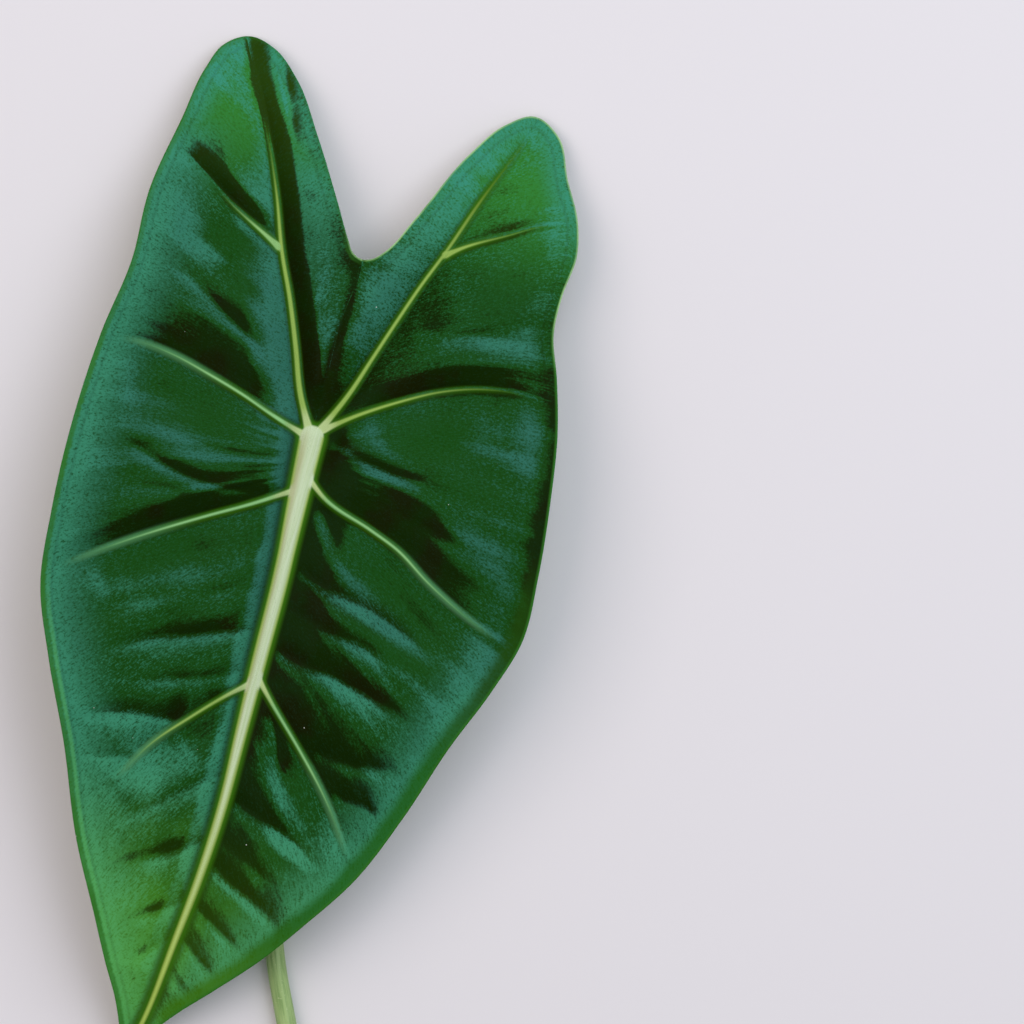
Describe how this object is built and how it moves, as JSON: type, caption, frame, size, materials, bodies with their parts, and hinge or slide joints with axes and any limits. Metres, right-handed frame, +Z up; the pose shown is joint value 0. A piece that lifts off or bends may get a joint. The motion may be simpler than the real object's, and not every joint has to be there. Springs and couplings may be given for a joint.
{
  "type": "alocasia leaf",
  "caption": "Arrow-shaped dark green leaf with two rounded back lobes, raised pale ribs, a drawn-out tip and a long pale stalk, picked and lying face up.",
  "frame": {"origin": "middle of the box's underside, at the height of the surface that the leaf lies on", "axes": "+Z up, from the surface through the leaf's upper face; +Y along the leaf towards its two back lobes, -Y towards its tip and the stalk's cut end; +X to the right seen from above with the lobes at the top"},
  "size_m": [0.1424, 0.4012, 0.027],
  "materials": {
    "blade": "leathery, faintly velvety leaf: deep green with cream midrib and yellow-green side ribs",
    "stalk": "smooth pale green leaf stalk, slightly waxy"
  },
  "bodies": {
    "root": {"leaf_blade": "blade", "leaf_stalk": "stalk"}
  },
  "joints": []
}
